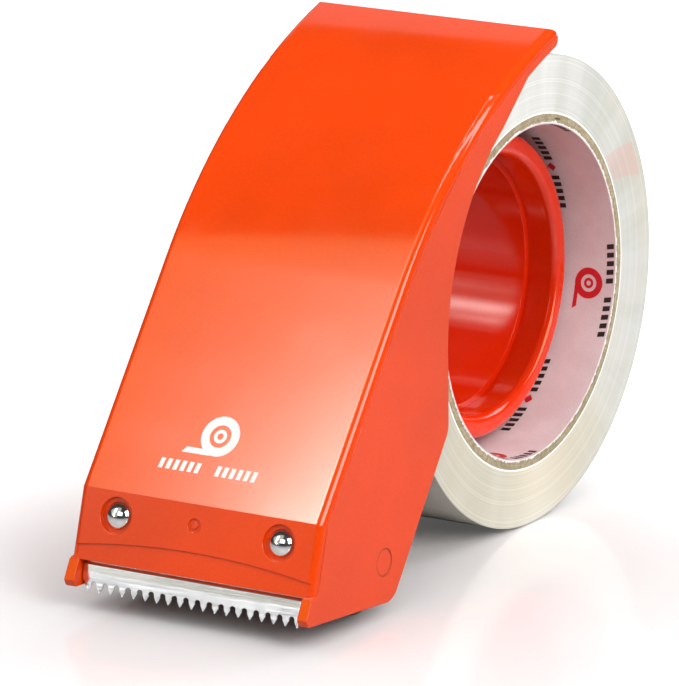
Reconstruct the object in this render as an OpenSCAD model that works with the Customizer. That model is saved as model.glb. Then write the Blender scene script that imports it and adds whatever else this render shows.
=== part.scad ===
// Hand-held packing-tape dispenser, side loading, with a full roll of tape.
// Units are millimetres. +X is the user's right, -Y is the front (the blade), +Z is up.
// The origin is on the table, midway between the side faces and between front and back.
// The side profile is drawn in the YZ plane, measured from the axis of the tape roll.

/* [Tape roll] */
// Outside diameter of the wound tape
tape_d = 107.8; // [100:0.2:107.8]
// Width of the tape
tape_w = 48; // [46:1:48]
// Inside diameter of the cardboard core
core_id = 76.2; // [76:0.1:76.4]
// Wall thickness of the cardboard core, without its printed liner
core_t = 2.1; // [1.5:0.1:3]
// Thickness of the printed paper that lines the core
liner_t = 0.25; // [0.2:0.05:0.4]

/* [Body shell] */
// Width over the two side walls
body_w = 62; // [62:0.5:66]
// Thickness of the side walls
wall_t = 2.4; // [2:0.1:2.4]
// Thickness of the curved cover and of the front facet
skin_t = 2.4; // [2:0.1:2.4]
// Radius along the outer edges of the cover
edge_r = 1.8; // [1:0.1:2]
// Radius of the cover's curve, seen from the side
cover_r = 130; // [128:1:134]
// Angle through which the cover curves, in degrees
cover_turn = 35.5; // [33:0.1:36]
// Length of the cover's straight part
cover_l = 55.7; // [54:0.1:58]
// Depth of the flanges along the cover's two sides
flange_d = 4.2; // [3.5:0.1:5]
// Length of the front facet
facet_l = 15.9; // [15:0.1:17]
// Radius of the opening in the right wall that lets a full roll in
rim_r = 54.6; // [54.2:0.1:55.4]

/* [Hub] */
// Outside radius of the drum
drum_r = 35.2; // [34.8:0.1:35.6]
// Radius of the finger hole through the drum
finger_r = 28.3; // [27.5:0.1:28.5]
// Radius of the finger hole through the end ring
ring_r = 29.8; // [29.4:0.1:30]
// Radius over the ribs that centre the core
rib_r = 37.7; // [37:0.1:37.7]
// How far the end ring sits inside the roll
ring_inset = 10.8; // [10:0.1:14]
// Length of the end ring
ring_l = 7.5; // [5:0.1:9]

/* [Blade] */
// Thickness of the steel blade
blade_t = 0.7; // [0.5:0.1:0.8]
// Distance from one tooth to the next
tooth_pitch = 2.98; // [2.8:0.02:3]
// Depth of the teeth
tooth_d = 2.4; // [2:0.1:2.6]
// Height of the bevel ground on the front of the blade, up from the tips
bevel_h = 4.3; // [3:0.1:4.8]
// Distance of each rivet from the middle of the blade
rivet_x = 20.8; // [18:0.2:23]

/* [Roller] */
// Radius of the axle
axle_r = 3; // [2.5:0.1:3.2]

/* [Hidden] */
$fn = 96;

cover_a = atan(4 / 3);               // slope of the cover's straight part
facet_a = atan(24 / 7);              // slope of the front facet
side_x = body_w / 2;                 // outer faces of the side walls
inner_x = side_x - wall_t;           // inner faces of the side walls
cover_x = side_x - 0.1;              // side edges of the cover, a parting line inside the walls
axle_z = 53.9;                       // height of the roll's axis above the table
roller_r = 12.5;                     // radius over the roller's rubber sleeve, which stands on the table
fold = [-106.2, -27];                // fold between the cover and the facet
ear = [-113, -46.6];                 // foremost point of the ears beside the blade
origin_y = -(ear.x + tape_d / 2) / 2;  // puts the origin midway from front to back
roller_at = [-81.3, roller_r - axle_z];
roll_x0 = -inner_x + 1.1;            // left face of the roll
roll_x1 = roll_x0 + tape_w;          // right face of the roll
ring_x1 = roll_x1 - ring_inset;      // right face of the hub's end ring
ring_x0 = ring_x1 - ring_l;
tube_t = 2.3;                        // wall of the drum's two tubes
screw_r = (finger_r + drum_r) / 2;   // circle of the hub's screws
rivet_s = 5.3;                       // distance of the rivets below the fold
fit = 0.05;                          // radial clearance of running fits
crease_r = 193.5;                    // radius of the arched step on the facet
tip_s = 22.7;                        // distance of the blade's tips below the fold
joggle = 0.5;                        // how far the blade steps forward below the facet
joggle_a = 60;                       // slope of that step; the bends' radius is then the step itself
hidden_in = 2.2;                     // how far the walls' outlines lie inside the cover's surface

function along(p, a, s, d = 0) = p + s * [cos(a), sin(a)] + d * [sin(a), -cos(a)];
function unit(v) = v / norm(v);
function arc(c, r, a0, a1, n) =
    [for (i = [0:n]) c + r * [cos(a0 + (a1 - a0) * i / n), sin(a0 + (a1 - a0) * i / n)]];

// Points of an arc of radius r that rounds the corner at p between a and b.
function corner(a, p, b, r, n = 7) =
    let (u = unit(a - p), v = unit(b - p), half = acos(u * v) / 2,
         c = p + unit(u + v) * r / sin(half),
         s = p + u * r / tan(half) - c,
         e = p + v * r / tan(half) - c,
         a0 = atan2(s.y, s.x),
         d = atan2(e.y, e.x) - a0,
         turn = d > 180 ? d - 360 : d < -180 ? d + 360 : d)
    [for (i = [0:n]) c + r * [cos(a0 + turn * i / n), sin(a0 + turn * i / n)]];

// A polygon whose corners are rounded. Each entry of p is [y, z, radius].
function rounded(p) =
    let (n = len(p), q = [for (v = p) [v[0], v[1]]])
    [for (i = [0:n - 1])
        each p[i][2] > 0 ? corner(q[(i + n - 1) % n], q[i], q[(i + 1) % n], p[i][2]) : [q[i]]];

cover_top = along(fold, cover_a, cover_l);          // where the straight part meets the curve
curve_at = along(cover_top, cover_a, 0, cover_r);   // centre of the cover's curve
facet_end = along(fold, facet_a, -facet_l);
top_a = 90 + cover_a - cover_turn;                  // direction of the cover's rear edge

// Moves its children to the axis of the roll.
module at_roll() translate([0, origin_y, axle_z]) children();

// Extrudes a YZ outline across the body, from x0 to x1.
module across(x0, x1)
    at_roll()
        translate([x0, 0, 0])
            rotate([90, 0, 90])
                linear_extrude(x1 - x0) children();

// A round bar along X, centred on the YZ point p.
module bar(r, x0, x1, p = [0, 0])
    across(x0, x1)
        translate(p) circle(r);

// Turns a [radius, x] outline about the X direction through the YZ point p.
module turned(p = [0, 0])
    at_roll()
        translate([0, p.x, p.y])
            rotate([90, 0, 90])
                rotate_extrude() children();

// The frame of the facet: x across, y up the facet from the fold, z outwards.
module on_facet(x = 0, s = 0)
    at_roll()
        translate([0, fold.x, fold.y])
            rotate([facet_a, 0, 0])
                translate([x, -s, 0]) children();

// Section of the cover, cut square to its run: x is height from the outer surface, y is across.
module cover_section()
    difference() {
        translate([-skin_t, -cover_x]) square([skin_t, 2 * cover_x]);
        for (s = [0, 1])
            mirror([0, s])
                translate([-edge_r, cover_x - edge_r])
                    difference() {
                        square(edge_r + 1);
                        circle(edge_r);
                    }
    }

// Runs the cover's section along a straight line, up from the YZ point p at slope a.
module straight_run(p, a, l)
    at_roll()
        translate([0, p.x, p.y])
            rotate([90 + a, 0, 0])
                rotate([180, 0, 90])
                    linear_extrude(l) cover_section();

// Everything above the plane that mitres the cover and the facet at the fold.
module above_fold(up)
    at_roll()
        translate([0, fold.x, fold.y])
            rotate([(cover_a + facet_a) / 2, 0, 0])
                translate([-100, up ? 0 : -200, -100]) cube([200, 200, 200]);

module curved_run()
    at_roll()
        translate([0, curve_at.x, curve_at.y])
            rotate([90, 0, 90])
                rotate(90 + cover_a)
                    rotate_extrude(angle = -cover_turn, $fn = 360)
                        translate([cover_r, 0]) cover_section();

// Narrow flange under each side edge of the curve, at its rear end.
module flange()
    difference() {
        polygon(concat(
            arc(curve_at, cover_r - hidden_in, top_a - 2, 119, 4),
            arc(curve_at, cover_r - 2 * flange_d, 119, top_a - 2, 4)
        ));
        translate(curve_at) circle(cover_r - flange_d, $fn = 360);
    }

// Side outline that rounds the rear edge of the cover and of its flanges.
module cover_end_mask() {
    back = flange_d / 2;
    turn = asin(back / (cover_r - back));
    translate(curve_at)
        rotate(top_a + turn) {
            translate([cover_r - back, 0]) circle(back + 0.2);
            translate([20, 0]) square([cover_r, cover_r]);
        }
}

module cover_shell() {
    intersection() {
        union() {
            curved_run();
            across(inner_x, side_x) flange();
            across(-side_x, -inner_x) flange();
        }
        across(-side_x - 1, side_x + 1) cover_end_mask();
    }
    intersection() {
        straight_run(fold, cover_a, cover_l);
        above_fold(true);
    }
    intersection() {
        straight_run(facet_end, facet_a, facet_l);
        above_fold(false);
    }
}

// Outline shared by both side walls, from the ear up and over the cover's curve.
// Its rear boundary is given by the list of points that follows.
module wall_outline(rear, curve_end) {
    in = hidden_in - 0.1;
    front = concat(
        [facet_end],
        [along(facet_end, facet_a, 1, in)],
        [fold + in * [sin(cover_a) + sin(facet_a), -cos(cover_a) - cos(facet_a)]
            / (1 + cos(facet_a - cover_a))],
        arc(curve_at, cover_r - in, 90 + cover_a, curve_end, 8)
    );
    polygon(rounded(concat(
        [for (p = front) [p.x, p.y, 0]],
        rear,
        [[-112.3, -48.2, 0.8], [ear.x, ear.y, 0]]
    )));
}

module right_wall() {
    a = 113;
    start = curve_at + (cover_r - flange_d + 0.8) * [cos(a), sin(a)];
    difference() {
        wall_outline([
            [start.x, start.y, 0],
            [-36, 40.6, 0],
            [-30, 0, 0],
            [0.3 - rim_r, 0, 0],
            [0.3 - rim_r, -18.2, 5],
            [-77.6, -50.9, 5]
        ], a + 1);
        circle(rim_r, $fn = 180);
    }
}

// The left wall reaches back to carry the hub.
module left_wall() {
    a = 110;
    start = curve_at + (cover_r - flange_d + 0.8) * [cos(a), sin(a)];
    circle(46);
    wall_outline([
        [start.x, start.y, 0],
        [20.4, 40.8, 0],
        [0, 0, 0],
        [3.6, -45.5, 0],
        [-62, -50.6, 12]
    ], a + 1);
}

module body_shell()
    color([0.95, 0.27, 0.05])
        difference() {
            union() {
                cover_shell();
                across(inner_x, side_x) right_wall();
                across(-side_x, -inner_x) left_wall();
            }
            bar(finger_r, -side_x - 1, 0);
            bar(axle_r, -side_x - 1, side_x + 1, roller_at);
            each_hub_screw() {
                translate([0, 0, -1]) cylinder(r = 1.4, h = 6);
                translate([0, 0, -1]) cylinder(r = 2.8, h = 1.1);
                translate([0, 0, 0.1]) cylinder(r1 = 2.8, r2 = 1.4, h = 1.4);
            }
            for (s = [-1, 1])
                on_facet(s * rivet_x, rivet_s) {
                    translate([0, 0, -skin_t - 1]) cylinder(r = 1.65, h = skin_t + 2);
                    translate([0, 0, -1]) cylinder(r = 4.05, h = 3);
                }
            // Arched step across the facet
            on_facet(0, 10.4 + crease_r)
                translate([0, 0, -0.35])
                    linear_extrude(3)
                        difference() {
                            translate([-side_x - 5, crease_r + 10.4 - facet_l - 0.1])
                                square([body_w + 10, facet_l - 10.3]);
                            difference() {
                                translate([-60, 0]) square([120, crease_r + 10]);
                                circle(crease_r, $fn = 360);
                            }
                        }
            // Moulding gate, a round dimple with a nub in it
            on_facet(-0.8, 4.7)
                translate([0, 0, -0.45])
                    linear_extrude(2)
                        difference() {
                            circle(1.6);
                            circle(0.7);
                        }
        }

// Frames of the hub's screws: z points into the drum from the wall's outer face.
module each_hub_screw()
    at_roll()
        translate([-side_x, 0, 0])
            rotate([0, 90, 0])
                for (a = [45:90:315])
                    rotate(a)
                        translate([screw_r, 0, 0]) children();

module hub_drum()
    color([0.93, 0.25, 0.05])
        difference() {
            union() {
                turned()
                    polygon([
                        [finger_r, -inner_x], [drum_r, -inner_x],
                        [drum_r, ring_x0], [drum_r - tube_t, ring_x0],
                        [drum_r - tube_t, wall_t - inner_x], [finger_r + tube_t, wall_t - inner_x],
                        [finger_r + tube_t, ring_x0], [finger_r, ring_x0]
                    ]);
                each_hub_screw()
                    translate([0, 0, 2 * wall_t - 0.1]) cylinder(r = 2.8, h = 14);
                for (a = [30:60:330])
                    across(-inner_x, ring_x0 - 3)
                        rotate(a)
                            translate([drum_r - 1, -1.2]) square([rib_r - drum_r + 1, 2.4]);
            }
            each_hub_screw()
                translate([0, 0, 1]) cylinder(r = 1.2, h = 12);
        }

module hub_end_ring() {
    outer = 2.3;
    inner = 1.8;
    color([0.96, 0.3, 0.07])
        turned() {
            translate([ring_r, ring_x0]) square([drum_r - ring_r, ring_l - outer]);
            translate([ring_r + inner, ring_x0])
                square([drum_r - ring_r - inner - outer, ring_l]);
            translate([ring_r, ring_x0]) square([inner, ring_l - inner]);
            translate([drum_r - outer, ring_x1 - outer]) circle(outer);
            translate([ring_r + inner, ring_x1 - inner]) circle(inner);
            translate([finger_r + tube_t + 0.1, ring_x0 - 3])
                square([drum_r - finger_r - 2 * tube_t - 0.2, 3.5]);
        }
}

module hub_screws()
    color([0.75, 0.76, 0.78])
        each_hub_screw()
            difference() {
                union() {
                    translate([0, 0, 0.1]) cylinder(r1 = 2.7, r2 = 1.2, h = 1.5);
                    translate([0, 0, 0.4]) cylinder(r = 1.2, h = 11);
                }
                for (a = [0, 90])
                    rotate(a)
                        translate([-1.5, -0.3, 0]) cube([3, 0.6, 0.9]);
            }

// One of the joggle's two bends, at radius r from its centre c, as [up, out] points.
function bend(c, r, side) =
    [for (i = [0:8])
        let (a = joggle_a * (side > 0 ? 8 - i : i) / 8)
        c + side * r * [sin(a), cos(a)]];

// Side outline of the blade: x is up from the tips, y is out from the facet.
// It lies flat behind the facet, steps forward below it and is ground thin towards the teeth.
module blade_section() {
    half = blade_t / 2;
    y = -skin_t - half;
    bend_x = tip_s - facet_l - 0.15;
    upper = [bend_x, y + joggle];
    lower = [bend_x - 2 * joggle * sin(joggle_a), y];
    polygon(concat(
        [[tip_s - 1.5, y + half]],
        bend(upper, joggle - half, -1),
        bend(lower, joggle + half, 1),
        [
            [bevel_h, y + joggle + half],
            [-0.1, y + joggle - half + 0.1 - 0.1 * (blade_t - 0.1) / bevel_h],
            [-0.1, y + joggle - half]
        ],
        [for (p = [8:-1:0]) bend(lower, joggle - half, 1)[p]],
        [for (p = [8:-1:0]) bend(upper, joggle + half, -1)[p]],
        [[tip_s - 1.5, y - half]]
    ));
}

module blade() {
    teeth = 19;
    half_w = inner_x - 0.3;
    color([0.8, 0.81, 0.83])
        on_facet(0, tip_s)
            intersection() {
                translate([-half_w, 0, 0])
                    rotate([90, 0, 90])
                        linear_extrude(2 * half_w) blade_section();
                translate([0, 0, -10])
                    linear_extrude(12)
                        difference() {
                            translate([-half_w - 1, 0]) square([2 * half_w + 2, tip_s]);
                            for (i = [0:teeth])
                                translate([(i - teeth / 2) * tooth_pitch, 0]) {
                                    translate([0, tooth_d - 0.75]) circle(0.75, $fn = 32);
                                    polygon([
                                        [-tooth_pitch / 2, -0.02], [tooth_pitch / 2, -0.02],
                                        [0.68, tooth_d - 1.05], [-0.68, tooth_d - 1.05]
                                    ]);
                                }
                            for (s = [-1, 1])
                                translate([s * rivet_x, tip_s - rivet_s]) circle(1.65);
                        }
            }
}

module blade_rivets()
    color([0.9, 0.9, 0.92])
        for (s = [-1, 1])
            on_facet(s * rivet_x, rivet_s) {
                translate([0, 0, -1])
                    rotate_extrude()
                        intersection() {
                            translate([0, -2]) circle(3.8);
                            square([3.1, 3]);
                        }
                translate([0, 0, -skin_t - blade_t - 0.6])
                    cylinder(r = 1.6, h = skin_t + blade_t);
                translate([0, 0, -skin_t - blade_t - 1.4]) cylinder(r = 2.4, h = 0.8);
            }

module rivet_washers()
    color([0.7, 0.71, 0.73])
        for (s = [-1, 1])
            on_facet(s * rivet_x, rivet_s)
                translate([0, 0, -skin_t - blade_t - 0.6])
                    difference() {
                        cylinder(r = 3.5, h = 0.6);
                        translate([0, 0, -1]) cylinder(r = 1.6, h = 3);
                    }

module roller_axle()
    color([0.95, 0.29, 0.07])
        bar(axle_r, 0.1 - side_x, side_x - 0.1, roller_at);

module roller_core()
    color([0.2, 0.2, 0.21])
        turned(roller_at)
            difference() {
                union() {
                    translate([0, 0.2 - inner_x]) square([5, 2 * inner_x - 0.4]);
                    translate([0, roll_x0 - 0.3]) square([8, 52.8]);
                }
                translate([0, -side_x]) square([axle_r + fit, body_w]);
            }

module roller_sleeve() {
    x0 = roll_x0;
    l = 52.2;
    bevel = 0.5;
    color([0.06, 0.06, 0.065])
        turned(roller_at)
            polygon([
                [8, x0], [roller_r - bevel, x0], [roller_r, x0 + bevel],
                [roller_r, x0 + l - bevel], [roller_r - bevel, x0 + l], [8, x0 + l]
            ]);
}

// A ring of the roll, between two radii, over the tape's full width.
module roll_ring(r0, r1)
    turned()
        translate([r0, roll_x0]) square([r1 - r0, tape_w]);

module tape_film()
    color([0.86, 0.87, 0.83])
        roll_ring(core_id / 2 + liner_t + core_t, tape_d / 2, $fn = 240);

module tape_core()
    color([0.69, 0.6, 0.44])
        roll_ring(core_id / 2 + liner_t, core_id / 2 + liner_t + core_t, $fn = 240);

module core_liner()
    color([0.93, 0.84, 0.85])
        roll_ring(core_id / 2, core_id / 2 + liner_t, $fn = 240);

body_shell();
hub_drum();
hub_end_ring();
hub_screws();
blade();
blade_rivets();
rivet_washers();
roller_axle();
roller_core();
roller_sleeve();
tape_film();
tape_core();
core_liner();
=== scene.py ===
"""Looks of the packing-tape dispenser: materials, prints, floor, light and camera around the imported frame."""

import math

import bmesh
import bpy
from mathutils import Matrix, Vector


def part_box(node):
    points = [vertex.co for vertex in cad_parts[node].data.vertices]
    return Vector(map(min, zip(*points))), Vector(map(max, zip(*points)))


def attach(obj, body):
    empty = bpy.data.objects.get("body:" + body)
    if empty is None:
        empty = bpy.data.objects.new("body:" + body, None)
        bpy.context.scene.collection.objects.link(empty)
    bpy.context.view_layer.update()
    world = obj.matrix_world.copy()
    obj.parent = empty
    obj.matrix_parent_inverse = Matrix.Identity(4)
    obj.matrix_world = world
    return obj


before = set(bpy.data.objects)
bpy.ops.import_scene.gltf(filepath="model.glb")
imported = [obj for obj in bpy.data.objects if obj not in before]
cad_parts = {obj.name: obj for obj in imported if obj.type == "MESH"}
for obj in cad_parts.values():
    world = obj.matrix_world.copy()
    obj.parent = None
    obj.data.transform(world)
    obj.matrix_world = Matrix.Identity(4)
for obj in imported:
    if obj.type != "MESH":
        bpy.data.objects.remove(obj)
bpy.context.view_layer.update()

MM = 0.001


def axis_of(node):
    """Y and Z of the axis of a round node that lies along X."""
    low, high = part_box(node)
    return (low.y + high.y) / 2, (low.z + high.z) / 2


def radius_of(node):
    """Outside radius of such a node."""
    low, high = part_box(node)
    return (high.z - low.z) / 2


ROLL_Y, ROLL_Z = axis_of("tape_film")
ROLLER_Y, ROLLER_Z = axis_of("roller_axle")
TAPE_R = radius_of("tape_film")
BOARD_R = radius_of("tape_core")
LINER_R = radius_of("core_liner")
AXLE_R = radius_of("roller_axle")

# The cover seen from the side, as in the CAD source
SLOPE = math.atan2(4, 3)
FACET_SLOPE = math.atan2(24, 7)
COVER_L = 55.7 * MM
COVER_R = 130 * MM
FOLD_Y = ROLL_Y - 106.2 * MM
FOLD_Z = ROLL_Z - 27 * MM
CURVE_Y = FOLD_Y + COVER_L * math.cos(SLOPE) + COVER_R * math.sin(SLOPE)
CURVE_Z = FOLD_Z + COVER_L * math.sin(SLOPE) - COVER_R * math.cos(SLOPE)
CURVE_END = math.radians(108.6)
FACET_LOW_Z = 12.5 * MM
# Its side edges are rounded from here out
EDGE_X = 29.1 * MM
EDGE_R = 1.8 * MM

# Rays for each softened edge and each shaded corner
RAYS = 6


# ---------------------------------------------------------------- node trees

class Tree:
    """One material's node tree. Its methods return sockets, so that expressions nest."""

    def __init__(self, name):
        self.material = bpy.data.materials.new(name)
        self.material.use_nodes = True
        self.tree = self.material.node_tree
        self.tree.nodes.clear()
        self.spot = self.node("ShaderNodeTexCoord").outputs["Object"]

    def node(self, kind, inputs=None, **props):
        """Adds a node. Each input is either a socket to link or a constant."""
        n = self.tree.nodes.new(kind)
        for key, value in props.items():
            setattr(n, key, value)
        for key, value in (inputs or {}).items():
            if isinstance(value, bpy.types.NodeSocket):
                self.tree.links.new(value, n.inputs[key])
            else:
                n.inputs[key].default_value = value
        return n

    def math(self, operation, a, b=0.0):
        return self.node("ShaderNodeMath", {0: a, 1: b}, operation=operation).outputs[0]

    def add(self, a, b):
        return self.math("ADD", a, b)

    def sub(self, a, b):
        return self.math("SUBTRACT", a, b)

    def mul(self, a, b):
        return self.math("MULTIPLY", a, b)

    def ramp(self, value, low, high, to_low=0.0, to_high=1.0, smooth=True):
        kind = "SMOOTHSTEP" if smooth else "LINEAR"
        return self.node("ShaderNodeMapRange", {0: value, 1: low, 2: high, 3: to_low, 4: to_high},
                         interpolation_type=kind).outputs[0]

    def window(self, value, start, full, fade, end):
        """Rises from 0 at start to 1 at full, then falls from 1 at fade to 0 at end."""
        return self.mul(self.ramp(value, start, full), self.ramp(value, fade, end, 1.0, 0.0))

    def stripe(self, value, middle, half, soft_half):
        """1 within half of the middle, fading to 0 at soft_half from it."""
        return self.ramp(self.math("ABSOLUTE", self.sub(value, middle)), half, soft_half, 1.0, 0.0)

    def mix(self, factor, a, b, blend="MIX"):
        inputs = {0: factor, 6: a, 7: b}
        return self.node("ShaderNodeMix", inputs, data_type="RGBA", blend_type=blend).outputs[2]

    def mix_numbers(self, factor, a, b):
        return self.node("ShaderNodeMix", {0: factor, 2: a, 3: b}, data_type="FLOAT").outputs[0]

    def shade(self, colour, value):
        """Multiplies a colour by a number."""
        grey = self.node("ShaderNodeCombineColor", {0: value, 1: value, 2: value}).outputs[0]
        return self.mix(1.0, colour, grey, "MULTIPLY")

    def vector(self, x, y, z):
        return self.node("ShaderNodeCombineXYZ", {0: x, 1: y, 2: z}).outputs[0]

    def parts(self, vector):
        return self.node("ShaderNodeSeparateXYZ", {0: vector}).outputs

    def stretched(self, scale, turn=(0, 0, 0)):
        return self.node("ShaderNodeMapping", {0: self.spot, 2: turn, 3: scale}).outputs[0]

    def noise(self, scale, detail=2.0, rough=0.5, vector=None, warp=0.0):
        inputs = {"Vector": vector or self.spot, "Scale": scale, "Detail": detail, "Roughness": rough,
                  "Distortion": warp}
        return self.node("ShaderNodeTexNoise", inputs).outputs[0]

    def lines(self, scale, detail=2.0, value=None, rough=0.5):
        """Noise along one number only, which makes parallel lines."""
        inputs = {"W": value, "Scale": scale, "Detail": detail, "Roughness": rough}
        return self.node("ShaderNodeTexNoise", inputs, noise_dimensions="1D").outputs[0]

    def dot(self, a, b):
        return self.node("ShaderNodeVectorMath", {0: a, 1: b}, operation="DOT_PRODUCT").outputs["Value"]

    def mix_vectors(self, factor, a, b):
        return self.node("ShaderNodeMix", {0: factor, 4: a, 5: b}, data_type="VECTOR").outputs[1]

    def own_normal(self):
        return self.node("ShaderNodeNewGeometry").outputs["Normal"]

    def softened(self, radius):
        """The surface's normal, softened over this radius."""
        return self.node("ShaderNodeBevel", {"Radius": radius}, samples=RAYS).outputs[0]

    def rounded(self, radius, ground=None):
        """The normal in ground, or the surface's own, softened only at sharp edges."""
        flat = self.own_normal()
        soft = self.softened(radius)
        sharp = self.ramp(self.sub(1.0, self.dot(soft, flat)), 0.01, 0.06)
        return self.mix_vectors(sharp, ground or flat, soft)

    def edges(self, radius):
        """1 along sharp edges, 0 on flat ground."""
        likeness = self.dot(self.softened(radius), self.own_normal())
        return self.ramp(self.sub(1.0, likeness), 0.02, 0.25)

    def corners(self, distance):
        """Near 0 in corners and grooves, 1 in the open."""
        return self.node("ShaderNodeAmbientOcclusion", {"Distance": distance}, samples=RAYS).outputs["AO"]

    def bump(self, height, distance, normal=None, strength=1.0):
        inputs = {"Strength": strength, "Distance": distance, "Height": height}
        if normal is not None:
            inputs["Normal"] = normal
        return self.node("ShaderNodeBump", inputs).outputs[0]

    def roll_place(self, y=ROLL_Y, z=ROLL_Z):
        """Distance from an axis along X, angle about it in turns, and X."""
        p = self.parts(self.spot)
        dy, dz = self.sub(p[1], y), self.sub(p[2], z)
        radius = self.math("SQRT", self.add(self.mul(dy, dy), self.mul(dz, dz)))
        turns = self.math("DIVIDE", self.math("ARCTAN2", dz, dy), 2 * math.pi)
        return radius, turns, p[0]

    def finish(self, base, roughness, normal=None, **others):
        """Adds the shader. others are its further inputs, with _ for the spaces in their names."""
        inputs = {"Base Color": base, "Roughness": roughness}
        for key, value in others.items():
            inputs[key.replace("_", " ")] = value
        if normal is not None:
            inputs["Normal"] = normal
        shader = self.node("ShaderNodeBsdfPrincipled", inputs)
        self.node("ShaderNodeOutputMaterial", {0: shader.outputs[0]})
        return self.material


def dimmed(colour, share):
    """A darker shade of a colour."""
    return [c * share for c in colour[:3]] + [1]


def dress(node, material):
    """Puts one material on every slot of a CAD node."""
    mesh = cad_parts[node].data
    if not mesh.materials:
        mesh.materials.append(material)
    for i in range(len(mesh.materials)):
        mesh.materials[i] = material


# ---------------------------------------------------------------- materials

def cover_normal(t):
    """The exact normal of the outer skin of the cover and the facet. It is worked out from their shape,
    because the mesh is coarse along their rounded side edges. Elsewhere it is the surface's own normal."""
    own = t.own_normal()
    p = t.parts(t.spot)
    turn = t.math("ARCTAN2", t.sub(p[2], CURVE_Z), t.sub(p[1], CURVE_Y))
    lean = t.math("MINIMUM", turn, math.pi / 2 + SLOPE)
    mitre = (SLOPE + FACET_SLOPE) / 2
    height = t.add(t.mul(t.sub(p[1], FOLD_Y), math.cos(mitre)), t.mul(t.sub(p[2], FOLD_Z), math.sin(mitre)))
    lean = t.mix_numbers(t.math("GREATER_THAN", height, 0.0), math.pi / 2 + FACET_SLOPE, lean)
    across = t.ramp(t.math("ABSOLUTE", p[0]), EDGE_X, EDGE_X + EDGE_R, smooth=False)
    upright = t.math("SQRT", t.sub(1.0, t.mul(across, across)))
    exact = t.vector(t.mul(across, t.math("SIGN", p[0])), t.mul(upright, t.math("COSINE", lean)),
                     t.mul(upright, t.math("SINE", lean)))
    within = t.mul(t.math("GREATER_THAN", turn, CURVE_END), t.math("GREATER_THAN", p[2], FACET_LOW_Z))
    alike = t.ramp(t.dot(own, exact), 0.93, 0.97)
    return t.mix_vectors(t.mul(within, alike), own, exact)


def moulded_plastic(name, colour, edge=0.35 * MM, gloss=0.08, disc=None, cover=False):
    """Glossy injection-moulded plastic: orange peel, flow marks, rub marks, lighter, duller edges and painted
    shade in corners.
    """
    t = Tree(name)
    deep = dimmed(colour, 0.86)
    pale = [min(1, colour[0] * 1.03), colour[1] * 1.35 + 0.004, colour[2] + 0.004, 1]
    cloud = t.noise(22, 3, 0.55)
    base = t.mix(t.ramp(cloud, 0.3, 0.7), deep, colour)
    grain = t.noise(1700, 2, 0.6)
    base = t.shade(base, t.ramp(grain, 0.25, 0.75, 0.965, 1.035))
    if disc:
        # A dark line where a round end of this radius sits in its hole
        around = t.roll_place(ROLLER_Y, ROLLER_Z)[0]
        line = t.stripe(around, disc, 0.06 * MM, 0.32 * MM)
        base = t.mix(t.mul(line, 0.75), base, dimmed(colour, 0.30))
    wear = t.mul(t.edges(0.7 * MM), t.ramp(t.noise(130, 3, 0.6), 0.38, 0.62, 0.25, 1.0))
    base = t.mix(t.mul(wear, 0.4), base, pale)
    # Painted shade: the colour darkens in corners and recesses, where shade falls
    corner_shade = t.sub(1.0, t.ramp(t.corners(2.5 * MM), 0.25, 0.8))
    base = t.mix(t.mul(corner_shade, 0.14), base, dimmed(colour, 0.45))
    rub_a = t.noise(1, 2, 0.6, t.stretched((900, 26, 26), (0.3, 0.5, 0.9)))
    rub_b = t.noise(1, 2, 0.6, t.stretched((20, 800, 26), (0.7, 0.2, -0.4)))
    rubs = t.math("MAXIMUM", t.ramp(rub_a, 0.66, 0.76), t.ramp(rub_b, 0.68, 0.78))
    smudge = t.ramp(t.noise(75, 4, 0.62, warp=0.6), 0.45, 0.75)
    roughness = t.add(gloss, t.add(t.mul(smudge, 0.05), t.add(t.mul(rubs, 0.05), t.mul(wear, 0.12))))
    peel = t.add(t.noise(420, 1, 0.4), t.mul(t.noise(2600, 1), 0.06))
    normal = t.bump(peel, 0.006 * MM, t.rounded(edge, cover_normal(t) if cover else None), 0.5)
    normal = t.bump(t.mul(rubs, -1.0), 0.002 * MM, normal, 0.4)
    return t.finish(base, roughness, normal, IOR=1.5)


def ground_steel(name, colour, along=(60, 5200, 5200), gloss=0.24, edge=0.15 * MM, scuff=0.1,
                 stains=0.22, dark_reflection_facing=None):
    """Ground or drawn steel with fine parallel lines, faint stains and bright edges. A face that looks exactly
    along the given direction is darkened, as a painted dark reflection."""
    t = Tree(name)
    grind = t.noise(1, 3, 0.65, t.stretched(along))
    stain = t.ramp(t.noise(190, 4, 0.6, warp=0.8), 0.42, 0.72)
    base = t.mix(t.ramp(grind, 0.3, 0.7), dimmed(colour, 0.82), colour)
    base = t.mix(t.mul(stain, stains), base, (colour[0] * 0.7, colour[1] * 0.66, colour[2] * 0.6, 1))
    # Painted reflection: faces that look along the given direction are darkened
    if dark_reflection_facing:
        facing = t.dot(t.own_normal(), dark_reflection_facing)
        base = t.shade(base, t.ramp(facing, 0.992, 0.998, 1.0, 0.84))
    base = t.mix(t.mul(t.edges(2 * edge), 0.6), base, (0.92, 0.92, 0.94, 1))
    roughness = t.add(gloss, t.add(t.mul(t.ramp(grind, 0.35, 0.75), scuff), t.mul(stain, stains / 2)))
    normal = t.bump(grind, 0.0015 * MM, t.rounded(edge), 0.4)
    return t.finish(base, roughness, normal, Metallic=1.0)


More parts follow.
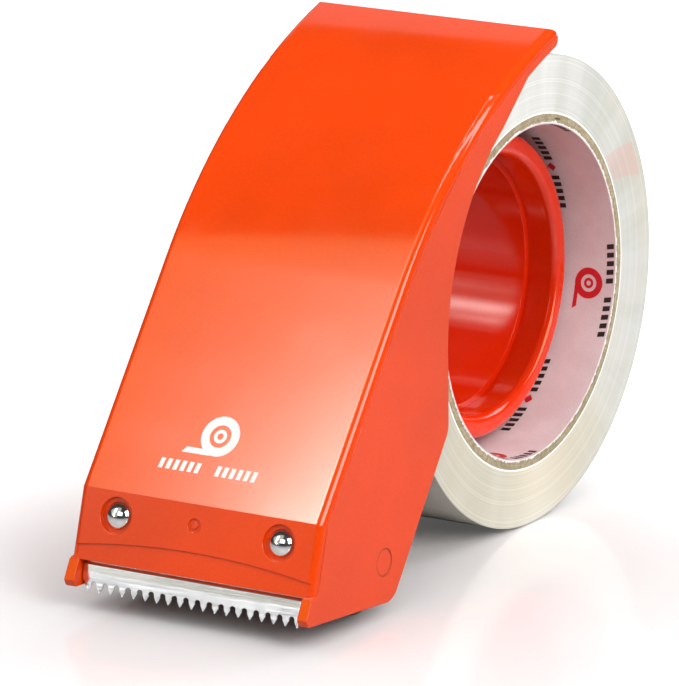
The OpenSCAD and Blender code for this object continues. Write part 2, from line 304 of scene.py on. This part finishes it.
def polished_dome(name):
    """Polished chrome with hair scratches, dulled and darkened by painted shade round its foot."""
    t = Tree(name)
    hair = t.ramp(t.noise(1, 2, 0.5, t.stretched((300, 4000, 300), (0.4, 0.1, 0.6))), 0.62, 0.72)
    haze = t.ramp(t.noise(420, 3, 0.6), 0.42, 0.7)
    # Painted shade darkens the colour round the foot, which is also rougher there
    foot_shade_and_dulling = t.sub(1.0, t.ramp(t.corners(1.2 * MM), 0.3, 0.85))
    base = t.mix(t.mul(haze, 0.2), (0.86, 0.87, 0.88, 1), (0.68, 0.68, 0.68, 1))
    base = t.mix(t.mul(foot_shade_and_dulling, 0.6), base, (0.30, 0.27, 0.25, 1))
    roughness = t.add(0.07, t.add(t.mul(hair, 0.1), t.add(t.mul(haze, 0.05), t.mul(foot_shade_and_dulling, 0.25))))
    return t.finish(base, roughness, t.bump(hair, 0.002 * MM, None, 0.5), Metallic=1.0)


def black_rubber(name):
    """Matt rubber with dust and fine rings."""
    t = Tree(name)
    grain = t.noise(900, 4, 0.65)
    dust = t.mul(t.ramp(t.noise(150, 4, 0.6), 0.48, 0.72), 0.5)
    rings = t.lines(5200, 2, t.parts(t.spot)[0])
    base = t.mix(t.ramp(grain, 0.3, 0.7), (0.010, 0.010, 0.011, 1), (0.024, 0.024, 0.025, 1))
    base = t.mix(t.mul(dust, 0.5), base, (0.085, 0.080, 0.075, 1))
    base = t.mix(t.mul(t.edges(0.5 * MM), 0.5), base, (0.06, 0.06, 0.06, 1))
    roughness = t.add(0.52, t.add(t.mul(grain, 0.16), t.mul(dust, 0.12)))
    normal = t.bump(t.add(t.mul(grain, 0.5), t.mul(rings, 0.5)), 0.03 * MM, None, 0.6)
    return t.finish(base, roughness, normal)


def black_plastic(name):
    """Fine-grained plastic with scuffs and greyer edges."""
    t = Tree(name)
    grain = t.noise(1500, 3, 0.6)
    base = t.mix(t.ramp(grain, 0.3, 0.7), (0.022, 0.022, 0.024, 1), (0.040, 0.040, 0.042, 1))
    base = t.mix(t.mul(t.edges(0.5 * MM), 0.6), base, (0.10, 0.10, 0.10, 1))
    scuffs = t.ramp(t.noise(1, 2, 0.5, t.stretched((50, 900, 900))), 0.6, 0.75)
    return t.finish(base, t.add(0.4, t.mul(scuffs, 0.15)), t.bump(grain, 0.02 * MM, t.rounded(0.2 * MM), 0.6))


def wound_film(name):
    """Clear film seen edge-on: hundreds of turns, some a little proud, a milky, greenish depth and painted
    highlight wedges.
    """
    t = Tree(name)
    radius, turns, _ = t.roll_place()
    face = t.ramp(t.math("ABSOLUTE", t.parts(t.own_normal())[0]), 0.6, 0.9)
    layer = t.add(radius, t.mul(t.noise(30, 1), 0.4 * MM))
    broad = t.lines(1500, 2, layer, 0.6)
    fine = t.lines(9000, 2, layer, 0.6)
    proud = t.ramp(t.lines(2600, 1, t.add(layer, 0.37)), 0.66, 0.78)
    # Milky and greenish sectors round the roll: partly streaks in the winding, partly painted highlight wedges
    angle = t.mul(turns, 2 * math.pi)
    around = t.vector(t.mul(t.math("COSINE", angle), 3.0), t.mul(t.math("SINE", angle), 3.0),
                      t.mul(radius, 14))
    streaks_and_painted_wedges = t.noise(1, 3, 0.6, around)
    milk = (0.60, 0.60, 0.57, 1)
    green = (0.50, 0.51, 0.465, 1)
    warm = (0.60, 0.52, 0.36, 1)
    side = t.mix(t.ramp(streaks_and_painted_wedges, 0.36, 0.64), green, milk)
    # Warmer and yellower in patches and towards the bottom of the roll
    towards_bottom = t.ramp(t.math("COSINE", t.mul(t.add(turns, 0.29), 2 * math.pi)), 0.35, 1.0)
    warm_share = t.add(t.mul(t.ramp(t.noise(26, 2), 0.45, 0.7), 0.4), t.mul(towards_bottom, 0.6))
    side = t.mix(t.mul(warm_share, 0.8), side, warm)
    side = t.shade(side, t.mul(t.ramp(fine, 0.3, 0.7, 0.95, 1.04), t.ramp(broad, 0.3, 0.7, 0.96, 1.03)))
    side = t.mix(t.mul(proud, 0.3), side, (0.90, 0.89, 0.86, 1))
    # A faint reddish patch, where a printed tab is wound in between the turns
    along = t.add(turns, t.mul(t.sub(radius, 42.6 * MM), 1.83))
    tab = t.mul(t.window(along, 0.0705, 0.0735, 0.099, 0.102),
                t.window(radius, 41.1 * MM, 41.6 * MM, 52.0 * MM, 52.6 * MM))
    blotch = t.ramp(t.lines(2600, 2, layer), 0.4, 0.6, 0.45, 1.0)
    side = t.mix(t.mul(t.mul(tab, blotch), 0.34), side, (0.74, 0.26, 0.24, 1))
    # The first turns' adhesive shows as a pale line, and the outermost turn as a thin grey one
    first = t.ramp(radius, BOARD_R + 0.25 * MM, BOARD_R + 0.55 * MM, 1.0, 0.0)
    side = t.mix(t.mul(first, 0.9), side, (0.97, 0.97, 0.95, 1))
    last = t.ramp(radius, TAPE_R - 0.45 * MM, TAPE_R - 0.2 * MM)
    side = t.mix(t.mul(last, 0.45), side, (0.36, 0.36, 0.35, 1))
    # The outer turn, with the edge of the film's free end and shallow trapped bubbles
    wrap = t.mix(t.ramp(t.noise(45, 3, 0.6), 0.35, 0.7), (0.62, 0.60, 0.50, 1), (0.73, 0.72, 0.64, 1))
    bubble = t.ramp(t.noise(1, 3, 0.55, t.stretched((70, 240, 240))), 0.55, 0.68)
    wrap = t.mix(t.mul(bubble, 0.35), wrap, (0.86, 0.86, 0.82, 1))
    lip = t.stripe(turns, -0.327, 0.0004, 0.0012)
    wrap = t.mix(t.mul(lip, 0.6), wrap, (0.40, 0.39, 0.35, 1))
    base = t.mix(face, wrap, side)
    roughness = t.mix_numbers(face, t.add(0.07, t.mul(bubble, 0.05)), t.add(0.40, t.mul(fine, 0.12)))
    grooves = t.mul(t.add(t.mul(fine, 0.3), t.add(t.mul(broad, 0.8), t.mul(proud, 0.8))), face)
    ripple = t.mul(t.add(t.mul(t.noise(1, 2, 0.5, t.stretched((35, 500, 500))), 0.5), t.mul(bubble, 0.4)),
                   t.sub(1.0, face))
    normal = t.bump(t.add(t.mul(grooves, 0.35), ripple), 0.028 * MM, t.rounded(0.12 * MM), 0.8)
    tangent = t.node("ShaderNodeTangent", direction_type="RADIAL", axis="X").outputs[0]
    return t.finish(base, roughness, normal, Anisotropic=0.9, Anisotropic_Rotation=0.25, Tangent=tangent,
                    IOR=1.5)


def core_board(name):
    """Spiral-wound kraft board: plies at the ends, fibres and faint joints."""
    t = Tree(name)
    radius, turns, _ = t.roll_place()
    fibre = t.noise(1, 4, 0.68, t.stretched((1500, 1500, 1500)))
    fluff = t.noise(520, 4, 0.7, warp=1.2)
    ply = t.lines(2300, 1, t.add(radius, t.mul(t.noise(120, 2), 0.5 * MM)))
    base = t.mix(t.ramp(fluff, 0.32, 0.68), (0.30, 0.235, 0.135, 1), (0.50, 0.415, 0.275, 1))
    base = t.mix(t.mul(t.ramp(ply, 0.42, 0.6, 1.0, 0.0), 0.35), base, (0.235, 0.18, 0.10, 1))
    base = t.shade(base, t.ramp(fibre, 0.25, 0.75, 0.82, 1.15))
    # The liner's torn white edge, lapped unevenly over the board's inner ply
    torn = t.add(LINER_R + 0.12 * MM, t.mul(t.ramp(t.noise(650, 3, 0.65), 0.42, 0.75), 0.55 * MM))
    base = t.mix(t.ramp(t.sub(radius, torn), 0.0, 0.06 * MM, 1.0, 0.0), base, (0.90, 0.86, 0.84, 1))
    # The slit where the outer ply's two edges meet
    slit = t.mul(t.stripe(turns, 0.205, 0.004, 0.0065),
                 t.stripe(radius, LINER_R + 1.1 * MM, 0.10 * MM, 0.28 * MM))
    base = t.mix(t.mul(slit, 0.9), base, (0.045, 0.033, 0.022, 1))
    height = t.sub(t.add(t.mul(fibre, 0.4), t.mul(fluff, 0.6)), t.mul(slit, 0.8))
    return t.finish(base, t.add(0.82, t.mul(fibre, 0.1)), t.bump(height, 0.12 * MM, None, 0.7))


def liner_paper(name):
    """Smooth coated paper with fibres, a spiral joint and dents, faintly pink as painted bounce light from the
    red hub.
    """
    t = Tree(name)
    _, turns, x = t.roll_place()
    fibre = t.noise(2200, 3, 0.6)
    cloud = t.noise(60, 3, 0.6)
    # The pink tint is painted bounce light from the red hub
    base = t.mix(t.ramp(cloud, 0.35, 0.7), (0.62, 0.50, 0.51, 1), (0.70, 0.60, 0.61, 1))
    base = t.shade(base, t.ramp(fibre, 0.3, 0.7, 0.96, 1.03))
    spiral = t.math("FRACT", t.add(t.mul(x, 11.0), turns))
    seam = t.stripe(spiral, 0.5, 0.0, 0.004)
    base = t.mix(t.mul(seam, 0.35), base, (0.42, 0.33, 0.32, 1))
    dents = t.noise(210, 2, 0.5)
    height = t.add(t.mul(fibre, 0.15), t.add(t.mul(dents, 0.8), t.mul(seam, -0.4)))
    return t.finish(base, t.add(0.42, t.mul(fibre, 0.12)), t.bump(height, 0.06 * MM, None, 0.6))


def ink(name, colour, wear=0.25, gloss=0.35):
    """Printing ink, a little thin in places."""
    t = Tree(name)
    thin = t.ramp(t.noise(900, 4, 0.7), 0.40, 0.75)
    base = t.mix(t.mul(thin, wear), colour, [c * 0.8 + 0.03 for c in colour[:3]] + [1])
    base = t.shade(base, t.ramp(t.noise(120, 2), 0.3, 0.7, 0.96, 1.03))
    return t.finish(base, t.add(gloss, t.mul(thin, 0.2)), t.bump(thin, 0.01 * MM, None, 0.5))


ORANGE = (0.755, 0.053, 0.0020, 1)
dress("body_shell", moulded_plastic("shell_plastic", ORANGE, disc=AXLE_R, cover=True))
dress("hub_drum", moulded_plastic("hub_plastic", (0.70, 0.020, 0.0011, 1)))
dress("hub_end_ring", moulded_plastic("ring_plastic", (0.86, 0.034, 0.0018, 1), 0.2 * MM))
dress("roller_axle", moulded_plastic("axle_plastic", (0.75, 0.053, 0.0025, 1), 0.15 * MM, 0.2, AXLE_R))
# The blade's flat faces, parallel to the facet, are darkened as a painted dark reflection
dress("blade", ground_steel("blade_steel", (0.92, 0.93, 0.94, 1), gloss=0.10, edge=0.03 * MM, scuff=0.03,
                            stains=0.02, dark_reflection_facing=(0, -math.sin(FACET_SLOPE), math.cos(FACET_SLOPE))))
dress("blade_rivets", polished_dome("rivet_chrome"))
dress("rivet_washers", ground_steel("washer_steel", (0.56, 0.56, 0.57, 1), (900, 900, 900), 0.35))
dress("hub_screws", ground_steel("zinc_steel", (0.62, 0.63, 0.66, 1), (700, 2500, 700), 0.28))
dress("roller_core", black_plastic("roller_plastic"))
dress("roller_sleeve", black_rubber("sleeve_rubber"))
dress("tape_film", wound_film("film_clear"))
dress("tape_core", core_board("core_board"))
dress("core_liner", liner_paper("liner_paper"))


# ---------------------------------------------------------------- printed marks

INK = 0.03 * MM
# How far the ink lies off the cover and off the liner
COVER_GAP = 0.005 * MM
LINER_GAP = 0.03 * MM


class Print:
    """Ink on one surface, as thin closed solids. place(u, v, height) turns printed sizes into a point."""

    def __init__(self, place):
        self.place = place
        self.mesh = bmesh.new()

    def band(self, ribs, closed=False, thick=INK):
        """A solid through the ribs, which are pairs of (u, v) points on its two sides."""
        rows = []
        for a, b in ribs:
            corners = (self.place(*a, 0.0), self.place(*b, 0.0), self.place(*b, thick), self.place(*a, thick))
            rows.append([self.mesh.verts.new(corner) for corner in corners])
        count = len(rows)
        for i in range(count if closed else count - 1):
            here, there = rows[i], rows[(i + 1) % count]
            for k in range(4):
                self.mesh.faces.new((here[k], here[(k + 1) % 4], there[(k + 1) % 4], there[k]))
        if not closed:
            self.mesh.faces.new(rows[0][::-1])
            self.mesh.faces.new(rows[-1])

    def ring(self, u, v, inner, outer, steps=64):
        turns = [2 * math.pi * i / steps for i in range(steps)]
        self.band([((u + inner * math.cos(a), v + inner * math.sin(a)),
                    (u + outer * math.cos(a), v + outer * math.sin(a))) for a in turns], closed=True)

    def bar(self, u0, u1, v0, v1, slant=0.0, steps=6, thick=INK):
        """A bar from u0 to u1. Its upper side is shifted by slant."""
        us = [u0 + (u1 - u0) * i / steps for i in range(steps + 1)]
        self.band([((u, v0), (u + slant, v1)) for u in us], thick=thick)

    def dashes(self, start, end, v0, v1, count):
        """A row of slanted dashes, where the real print has words."""
        pitch = (end - start) / count
        for i in range(count):
            self.bar(start + i * pitch, start + (i + 0.58) * pitch, v0, v1, 0.16 * pitch)

    def diamond(self, u, v, half_u, half_v, steps=8):
        """A diamond. Its two points are cut off by a hair, so that it stays a closed solid."""
        cut = 0.03
        shares = [-1 + 2 * (i + cut) / (steps + 2 * cut) for i in range(steps + 1)]
        self.band([((u + half_u * w, v - half_v * (1 - abs(w))), (u + half_u * w, v + half_v * (1 - abs(w))))
                   for w in shares])

    def roll_sign(self, u, v, size):
        """A plain sign for a tape roll: two rings with the loose end running off below."""
        self.ring(u, v, 0.56 * size, size)
        self.ring(u, v, 0.16 * size, 0.34 * size, 32)
        self.bar(u - 1.75 * size, u - 0.25 * size, v - size, v - 0.72 * size, 0.2 * size, 12, 0.6 * INK)

    def finish(self, name, material, body):
        bmesh.ops.recalc_face_normals(self.mesh, faces=self.mesh.faces)
        mesh = bpy.data.meshes.new(name)
        self.mesh.to_mesh(mesh)
        self.mesh.free()
        mesh.materials.append(material)
        piece = bpy.data.objects.new(name, mesh)
        bpy.context.scene.collection.objects.link(piece)
        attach(piece, body)


def cover_place():
    """Places print on the cover's straight part: u across it, v up the slope from the fold with the facet."""
    out, up = Vector((0, -0.8, 0.6)), Vector((0, 0.6, 0.8))
    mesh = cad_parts["body_shell"].data
    flat = [p for p in mesh.polygons if p.normal.dot(out) > 0.9999]
    spots = [mesh.vertices[i].co for p in flat for i in p.vertices]
    level = max(spot.dot(out) for spot in spots)
    fold = min(spot.dot(up) for spot in spots if spot.dot(out) > level - 0.05 * MM)
    return lambda u, v, height: Vector((u, 0, 0)) + up * (fold + v) + out * (level + COVER_GAP + height)


def liner_place(along):
    """Places print on the liner's inner surface: u runs round it from the angle along, v is X."""
    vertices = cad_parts["core_liner"].data.vertices
    bore = min(math.hypot(v.co.y - ROLL_Y, v.co.z - ROLL_Z) for v in vertices)

    def place(u, v, height):
        turn = along + u / bore
        radius = bore - LINER_GAP - height
        return Vector((v, ROLL_Y + radius * math.cos(turn), ROLL_Z + radius * math.sin(turn)))
    return place


def print_cover():
    """A white sign above two groups of dashes."""
    marks = Print(cover_place())
    marks.roll_sign(-0.9 * MM, 16.0 * MM, 4.7 * MM)
    marks.dashes(-13.6 * MM, -2.6 * MM, 6.9 * MM, 9.3 * MM, 6)
    marks.dashes(0.8 * MM, 11.8 * MM, 6.9 * MM, 9.3 * MM, 6)
    marks.finish("cover_print", ink("ink_white", (0.86, 0.80, 0.78, 1)), "frame")


def print_liner():
    """Two rows of marks, each four times round: signs near the open end, and dashes with a diamond inside."""
    red = ink("ink_red", (0.56, 0.012, 0.02, 1))
    black = ink("ink_black", (0.018, 0.016, 0.018, 1))
    for k in range(4):
        near = liner_place(math.radians(-11.3 + 90 * k))
        far = liner_place(math.radians(-56.0 + 90 * k))
        sign = Print(near)
        sign.roll_sign(0.8 * MM, 13.8 * MM, 3.6 * MM)
        sign.finish("liner_sign_%d" % k, red, "tape_roll")
        words = Print(near)
        words.dashes(-11.3 * MM, -1.2 * MM, 18.3 * MM, 20.1 * MM, 5)
        words.dashes(1.2 * MM, 11.3 * MM, 18.3 * MM, 20.1 * MM, 5)
        words.finish("liner_rim_dashes_%d" % k, black, "tape_roll")
        words = Print(far)
        words.dashes(-12.0 * MM, -2.2 * MM, 6.1 * MM, 8.3 * MM, 5)
        words.dashes(2.2 * MM, 12.0 * MM, 6.1 * MM, 8.3 * MM, 5)
        words.finish("liner_dashes_%d" % k, black, "tape_roll")
        mark = Print(far)
        mark.diamond(0, 7.2 * MM, 1.4 * MM, 1.1 * MM)
        mark.finish("liner_diamond_%d" % k, red, "tape_roll")


print_cover()
print_liner()


# ---------------------------------------------------------------- camera, floor and light

# The photograph's own place and direction, found by fitting the object's outlines
camera_data = bpy.data.cameras.new("camera")
camera_data.sensor_fit = "HORIZONTAL"
camera_data.sensor_width = 36.0
camera_data.lens = 345.66
camera = bpy.data.objects.new("camera", camera_data)
camera_right = Vector((0.8499, 0.5269, -0.0035))
camera_up = Vector((-0.1282, 0.2133, 0.9685))
camera_ahead = Vector((-0.5111, 0.8227, -0.2489))
camera_axes = Matrix((camera_right, camera_up, -camera_ahead)).transposed().to_4x4()
camera.matrix_world = Matrix.Translation((0.73555, -1.20394, 0.40846)) @ camera_axes
bpy.context.scene.collection.objects.link(camera)
bpy.context.scene.camera = camera


def sheet_object(name, width, depth, shift=0.0):
    """A flat sheet in its own XY plane, moved by shift along its own Y."""
    mesh = bpy.data.meshes.new(name)
    w, low, high = width / 2, shift - depth / 2, shift + depth / 2
    mesh.from_pydata([(-w, low, 0), (w, low, 0), (w, high, 0), (-w, high, 0)], [], [(0, 1, 2, 3)])
    obj = bpy.data.objects.new(name, mesh)
    bpy.context.scene.collection.objects.link(obj)
    return obj


FLOOR_WIDTH = 30
FLOOR_DROP = 0.2 * MM
# Where the floor looks darkest to the camera
DARK_X = 0.03
DARK_Y = -0.06


def make_floor():
    """A pale, glossy table top. To the camera it brightens further out, as a lit sweep does. To bounced
    light and in reflections it is darker."""
    floor = sheet_object("floor", FLOOR_WIDTH, FLOOR_WIDTH)
    floor.location.z = -FLOOR_DROP
    t = Tree("floor_white")
    p = t.parts(t.spot)
    dx, dy = t.sub(p[0], DARK_X), t.sub(p[1], DARK_Y)
    out = t.math("SQRT", t.add(t.mul(dx, dx), t.mul(dy, dy)))
    base = t.mix(t.ramp(t.noise(6, 3, 0.6), 0.3, 0.7), (0.745, 0.725, 0.725, 1), (0.775, 0.76, 0.76, 1))
    path = t.node("ShaderNodeLightPath").outputs
    base = t.shade(base, t.sub(1.0, t.mul(t.add(path["Is Diffuse Ray"], path["Is Glossy Ray"]), 0.4)))
    glow = t.mul(t.ramp(out, 0.05, 0.20, 0.0, 0.6), path["Is Camera Ray"])
    floor.data.materials.append(t.finish(
        base, t.add(0.13, t.mul(t.noise(40, 2), 0.04)), None,
        IOR=1.42, Emission_Color=(1, 0.995, 0.99, 1), Emission_Strength=glow))


def softbox(name, place, aim, width, height, level, turn=0.0, shift=0.0, glows=(), tint=(1, 1, 1, 1),
            on=(), off=(), gloss_only=False):
    """A soft studio panel. turn turns it in its own plane, and shift moves it up that plane. Each glow is
    (x, y, level, reach, power): a brighter place that fades outwards. The panel lights only the nodes named
    in on, if there are any, and none that are named in off. With gloss_only it gives no diffuse light."""
    panel = sheet_object(name, width, height, shift)
    z = (Vector(place) - Vector(aim)).normalized()
    x = Vector((0, 0, 1)).cross(z).normalized()
    y = z.cross(x)
    panel.matrix_world = (Matrix.Translation(place) @ Matrix((x, y, z)).transposed().to_4x4()
                          @ Matrix.Rotation(turn, 4, "Z"))
    t = Tree(name)
    inward = t.node("ShaderNodeNewGeometry").outputs["Backfacing"]
    shader = t.node("ShaderNodeEmission", {"Color": tint, "Strength": t.mul(inward, level)}).outputs[0]
    for gx, gy, bright, reach, power in glows:
        distance = t.node("ShaderNodeVectorMath", {0: t.spot, 1: (gx, gy, 0)}, operation="DISTANCE")
        away = distance.outputs["Value"]
        fade = t.math("EXPONENT", t.mul(t.math("POWER", t.math("DIVIDE", away, reach), power), -1.0))
        strength = t.mul(t.mul(inward, fade), bright)
        glow = t.node("ShaderNodeEmission", {"Color": (1, 0.99, 0.93, 1), "Strength": strength}).outputs[0]
        shader = t.node("ShaderNodeAddShader", {0: shader, 1: glow}).outputs[0]
    if on:
        # A panel meant for one piece must not hide another panel from the rest
        clear = t.node("ShaderNodeBsdfTransparent").outputs[0]
        shader = t.node("ShaderNodeAddShader", {0: shader, 1: clear}).outputs[0]
    t.node("ShaderNodeOutputMaterial", {0: shader})
    panel.data.materials.append(t.material)
    panel.visible_camera = False
    panel.visible_shadow = False
    panel.visible_diffuse = not gloss_only
    if on or off:
        linked = bpy.data.collections.new("linked_to_" + name)
        for node in [*on, *off]:
            linked.objects.link(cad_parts[node])
        for item in linked.collection_objects:
            item.light_linking.link_state = "EXCLUDE" if off else "INCLUDE"
        panel.light_linking.receiver_collection = linked


def make_world(soft, dim):
    """Even white light from all round, stronger from above. It shows only dimly in reflections, so that the
    panels shape them."""
    world = bpy.data.worlds.new("studio")
    world.use_nodes = True
    tree = world.node_tree
    background = tree.nodes["Background"]
    background.inputs[0].default_value = (1, 1, 1, 1)
    place = tree.nodes.new("ShaderNodeTexCoord")
    parts = tree.nodes.new("ShaderNodeSeparateXYZ")
    height = tree.nodes.new("ShaderNodeMapRange")
    for socket, value in enumerate((0.0, 0.7, soft * 0.3, soft * 1.3), 1):
        height.inputs[socket].default_value = value
    path = tree.nodes.new("ShaderNodeLightPath")
    level = tree.nodes.new("ShaderNodeMix")
    level.inputs[3].default_value = dim
    tree.links.new(place.outputs["Generated"], parts.inputs[0])
    tree.links.new(parts.outputs[2], height.inputs[0])
    tree.links.new(height.outputs[0], level.inputs[2])
    tree.links.new(path.outputs["Is Glossy Ray"], level.inputs[0])
    tree.links.new(level.outputs[0], background.inputs[1])
    bpy.context.scene.world = world


make_floor()
make_world(0.94, 0.04)
CENTRE = Vector((0, 0, 0.06))
softbox("softbox_cover", (-0.511, -0.527, 0.775), CENTRE, 1.3, 0.67, 1.1, math.pi / 2, -0.234,
        [(-0.0315, -0.1158, 133.0, 0.0301, 1.0), (0.187, -0.118, 5.3, 0.147, 2.0)], (1, 0.95, 0.12, 1),
        on=["body_shell"], gloss_only=True)
softbox("softbox_hub", (-0.501, -0.517, 0.761), CENTRE, 1.3, 0.67, 0.5, 0.82, -0.215,
        [(0.032, -0.075, 42.0, 0.029, 1.0), (-0.08, -0.24, 9.0, 0.10, 2.0)], (1, 0.97, 0.80, 1),
        on=["hub_drum", "hub_end_ring", "blade_rivets"], gloss_only=True)
softbox("softbox_facet", (-0.64, -1.06, 0.36), CENTRE, 0.9, 0.4, 0.5, glows=[(-0.10, 0.0, 1.6, 0.1, 2.0)],
        tint=(1, 0.95, 0.8, 1))
softbox("softbox_key", (1.15, -0.55, 0.80), CENTRE, 0.8, 0.8, 8.4, off=["hub_end_ring"])
softbox("softbox_lip", (1.25, 0.35, 0.12), CENTRE, 0.8, 0.8, 7.0, tint=(1, 0.8, 0.5, 1), on=["hub_end_ring"])
softbox("softbox_front", (0.15, -1.30, 0.75), CENTRE, 0.8, 0.6, 2.5)
softbox("softbox_back", (0.5, 1.1, 0.75), CENTRE, 0.7, 0.5, 5.0)
softbox("softbox_rear", (-0.75, 1.05, 0.85), CENTRE, 0.9, 0.9, 0.7)
softbox("softbox_blade", (-0.66, -1.12, 0.09), CENTRE, 0.9, 0.2, 9.8, on=["blade"], gloss_only=True)
softbox("softbox_strip", (0.40, 0.05, 1.20), CENTRE, 0.15, 2.0, 8.0, 0.31, on=["body_shell"], gloss_only=True)
softbox("softbox_roll_top", (0.77, 1.15, 0.17), CENTRE, 0.10, 0.3, 45.0, on=["tape_film"], gloss_only=True)
softbox("softbox_roll_right", (1.22, 0.60, 0.24), CENTRE, 0.3, 0.3, 9.0, on=["tape_film"], gloss_only=True)
softbox("softbox_roll_low", (1.15, 0.71, 0.42), CENTRE, 0.16, 0.2, 26.0, on=["tape_film"], gloss_only=True)

bpy.context.scene.view_settings.view_transform = "Standard"
bpy.context.scene.view_settings.look = "None"
